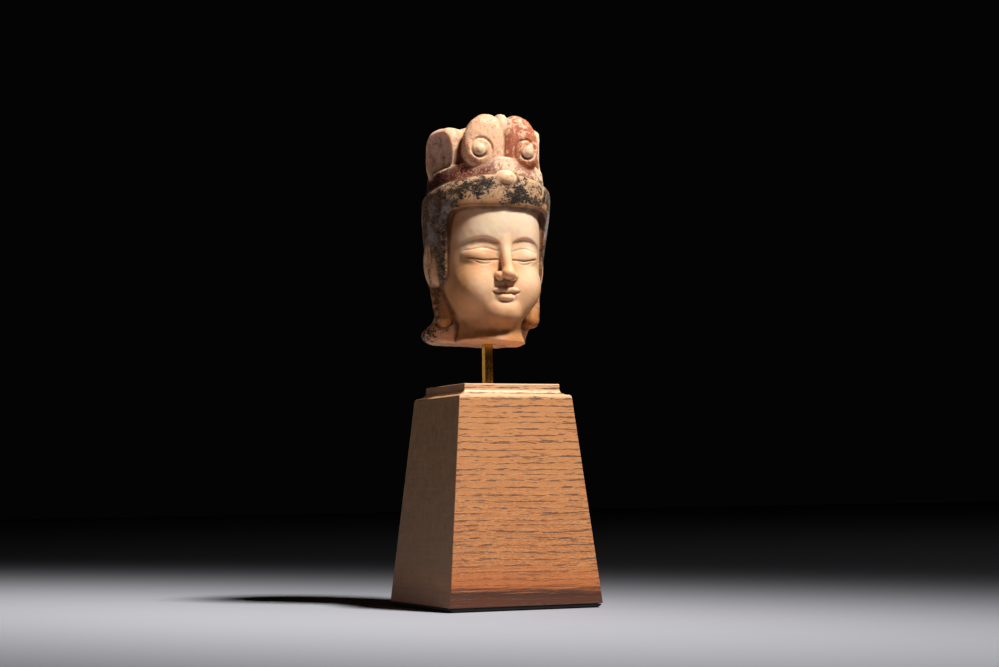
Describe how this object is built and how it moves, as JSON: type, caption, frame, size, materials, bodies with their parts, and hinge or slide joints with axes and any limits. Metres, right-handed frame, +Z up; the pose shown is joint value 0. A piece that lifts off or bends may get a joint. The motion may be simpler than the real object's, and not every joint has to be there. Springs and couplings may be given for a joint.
{
  "type": "carved stone head on a display stand",
  "caption": "Carved marble head of a crowned bodhisattva, held above a tapered hardwood plinth by a square brass bar.",
  "frame": {"origin": "middle of the foot plate's underside, on the surface that the stand rests on", "axes": "+Z up, the face looks along -Y, +X to the right of someone who looks at the face"},
  "size_m": [0.0882, 0.0882, 0.2691],
  "materials": {
    "marble": "warm white marble, softly polished, with worn black, red and orange pigment",
    "brass": "satin",
    "hardwood": "oiled, open grain",
    "black_paint": "matt black"
  },
  "bodies": {
    "root": {"bodhisattva_head": "marble", "brass_rod": "brass", "wooden_plinth": "hardwood", "black_foot_plate": "black_paint"}
  },
  "joints": []
}
